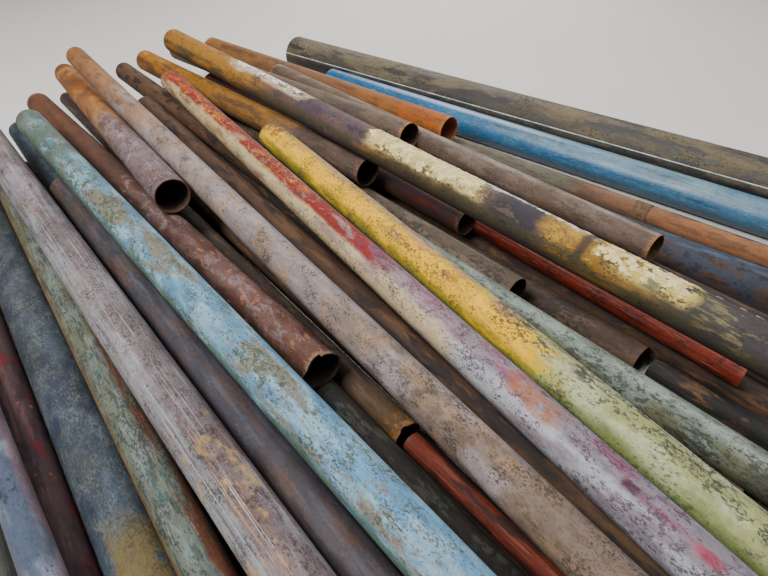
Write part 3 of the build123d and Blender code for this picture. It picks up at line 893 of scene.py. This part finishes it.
def strip(node, name, turn, material):
    """A thin raised stripe along the whole tube."""
    axis = Axis(node)
    half = math.degrees(STRIP_WIDTH / 2 / axis.radius)
    foot, top = axis.radius - STRIP_FOOT, axis.radius + STRIP_HEIGHT
    section = ((-half, foot), (-half * 0.9, top), (half * 0.9, top), (half, foot))
    verts = []
    for i in range(STRIP_STEPS + 1):
        s = STRIP_END + (axis.length - 2 * STRIP_END) * i / STRIP_STEPS
        wave = STRIP_WAVER * lumps(Vector((s * 3, turn, 0)))
        verts += [axis.point(s, turn + aside + wave, radius) for aside, radius in section]
    faces = side_faces(STRIP_STEPS + 1, 4, False)
    faces += [(0, 1, 2, 3), tuple(4 * STRIP_STEPS + k for k in (3, 2, 1, 0))]
    piece(name, verts, faces, material)


# Seed, two colours, the size of the mottling and the roughness, where it isn't the usual one.
SMALL_FINISHES = {
    "rust_burr": (71, (116, 80, 54), (72, 50, 40), 0.006),
    "orange_burr": (72, (184, 112, 58), (110, 68, 42), 0.006),
    "bright_burr": (73, (186, 168, 148), (120, 92, 70), 0.005),
    "cream_chips": (81, (222, 208, 158), (196, 172, 116), 0.03),
    "white_chips": (82, (228, 226, 224), (190, 184, 176), 0.03),
    "yellow_chips": (83, (214, 166, 20), (176, 138, 40), 0.03),
    "pale_chips": (84, (106, 116, 110), (92, 98, 88), 0.03),
    "red_chips": (85, (126, 44, 38), (150, 84, 56), 0.02),
    "pale_stripe": (86, (214, 222, 220), (158, 178, 178), 0.05, 0.5),
}
skins = {name: plain_skin(name, *values) for name, values in SMALL_FINISHES.items()}

WITHOUT_BURRS = ("blue_tube", "striped_pipe", "torn_tube", "torch_cut_tube", "brick_red_tube")
ORANGE_BURRS = ("orange_offcut", "dusty_offcut", "grey_brown_tube")
for seed, node in enumerate(FINISHES):
    if node not in WITHOUT_BURRS:
        for end in ("near", "far"):
            burr(node, seed, skins["orange_burr" if node in ORANGE_BURRS else "rust_burr"], end)

slag("torch_cut_tube", "torch_slag", 11, 0.03, 0.0011, skins["bright_burr"])
slag("torn_tube", "torn_lips", 12, 0.034, 0.0009, skins["orange_burr"])

# Tube, name, count, zone, sector with the place where most are, sizes, curl and finish.
CHIPS = (
    ("peeling_tube", "cream", 260, (3.45, 4.05), (-60, 60, 10), (0.004, 0.018), 0.0012, "cream"),
    ("peeling_tube", "white", 180, (3.0, 3.5), (10, 90, 50), (0.004, 0.016), 0.0012, "white"),
    ("peeling_tube", "upper", 200, (4.6, 5.2), (-20, 80, 30), (0.004, 0.018), 0.0012, "white"),
    ("peeling_tube", "near", 150, (2.64, 2.93), (-55, 55, 0), (0.004, 0.014), 0.0012, "cream"),
    ("peeling_tube", "edge", 160, (1.5, 2.6), (35, 80, 60), (0.004, 0.014), 0.0012, "white"),
    ("yellow_tube", "yellow", 420, (3.3, 4.95), (-70, 30, -20), (0.0015, 0.006), 0.0015, "yellow"),
    ("turquoise_tube", "turquoise", 420, (2.1, 4.6), (-60, 50, 0), (0.0015, 0.005), 0.0012, "pale"),
    ("red_tube", "red", 320, (1.9, 3.9), (-30, 30, 0), (0.0015, 0.006), 0.0015, "red"),
)
for seed, (node, name, *places, finish) in enumerate(CHIPS, 1):
    flakes(node, name + "_paint_chips", seed, *places, skins[finish + "_chips"])

for number, turn in enumerate((-74, 16, 106, -164), 1):
    strip("striped_pipe", f"pipe_stripe_{number}", turn, skins["pale_stripe"])


# --- floor, light and camera ------------------------------------------------------------------

FLOOR_SIZE = 60.0
FLOOR_COLOURS = ((206, 204, 200), (214, 212, 208))
FLOOR_CLOUDS, FLOOR_GRAIN = 0.6, 0.01
# Name, place, what it points at, size, power and colour.
LIGHTS = (
    ("key", (-4.5, 1.0, 5.5), (0.2, 0.6, 0.2), 2.6, 560, (1.0, 0.97, 0.92)),
    ("back", (4.5, 6.0, 4.5), (0.2, 0.6, 0.2), 3.5, 420, (1.0, 0.95, 0.88)),
    ("top", (0.0, 0.0, 7.5), (0, 0, 0), 6.0, 320, (0.95, 0.97, 1.0)),
)
SKY_COLOUR, SKY_STRENGTH = (0.86, 0.89, 0.93, 1), 0.26
# The photo's view, as fitted to it: focal length as a share of its width, place and turn.
SENSOR_WIDTH = 36.0
FOCAL_SHARE = 577 / 768
CAMERA_PLACE = (-1.6766, -0.8063, 1.5101)
CAMERA_PITCH, CAMERA_HEADING = math.radians(38.4), math.radians(37.0)


def floor():
    bpy.ops.mesh.primitive_plane_add(size=FLOOR_SIZE, location=(0, 0, 0))
    obj = bpy.context.object
    obj.name = "floor"
    skin = Skin("floor_finish", 90, 0.9)
    skin.place = skin.add("TexCoord").outputs["Object"]
    mask = skin.noise(FLOOR_CLOUDS, FLOOR_CLOUDS, *ROUGH_NOISE)
    skin.colour = skin.mix(mask, *(tint(*colour) for colour in FLOOR_COLOURS))
    grain = skin.noise(FLOOR_GRAIN, FLOOR_GRAIN, 3.0, 0.6)
    skin.height = skin.times(grain, 0.15)
    obj.data.materials.append(skin.finish())


def area_light(name, place, target, size, power, colour):
    data = bpy.data.lights.new(name, "AREA")
    data.shape = "SQUARE"
    data.size = size
    data.energy = power
    data.color = colour
    obj = bpy.data.objects.new(name, data)
    obj.location = place
    toward = Vector(target) - Vector(place)
    obj.rotation_euler = toward.to_track_quat("-Z", "Y").to_euler()
    bpy.context.scene.collection.objects.link(obj)


floor()
for light in LIGHTS:
    area_light(*light)
world = bpy.data.worlds.new("studio")
world.use_nodes = True
background = world.node_tree.nodes["Background"]
background.inputs[0].default_value = SKY_COLOUR
background.inputs[1].default_value = SKY_STRENGTH
bpy.context.scene.world = world

lens = bpy.data.cameras.new("camera")
lens.sensor_width = SENSOR_WIDTH
lens.lens = FOCAL_SHARE * SENSOR_WIDTH
lens.clip_start = 0.05
camera = bpy.data.objects.new("camera", lens)
camera.location = CAMERA_PLACE
camera.rotation_euler = (math.pi / 2 - CAMERA_PITCH, 0.0, -CAMERA_HEADING)
bpy.context.scene.collection.objects.link(camera)
bpy.context.scene.camera = camera
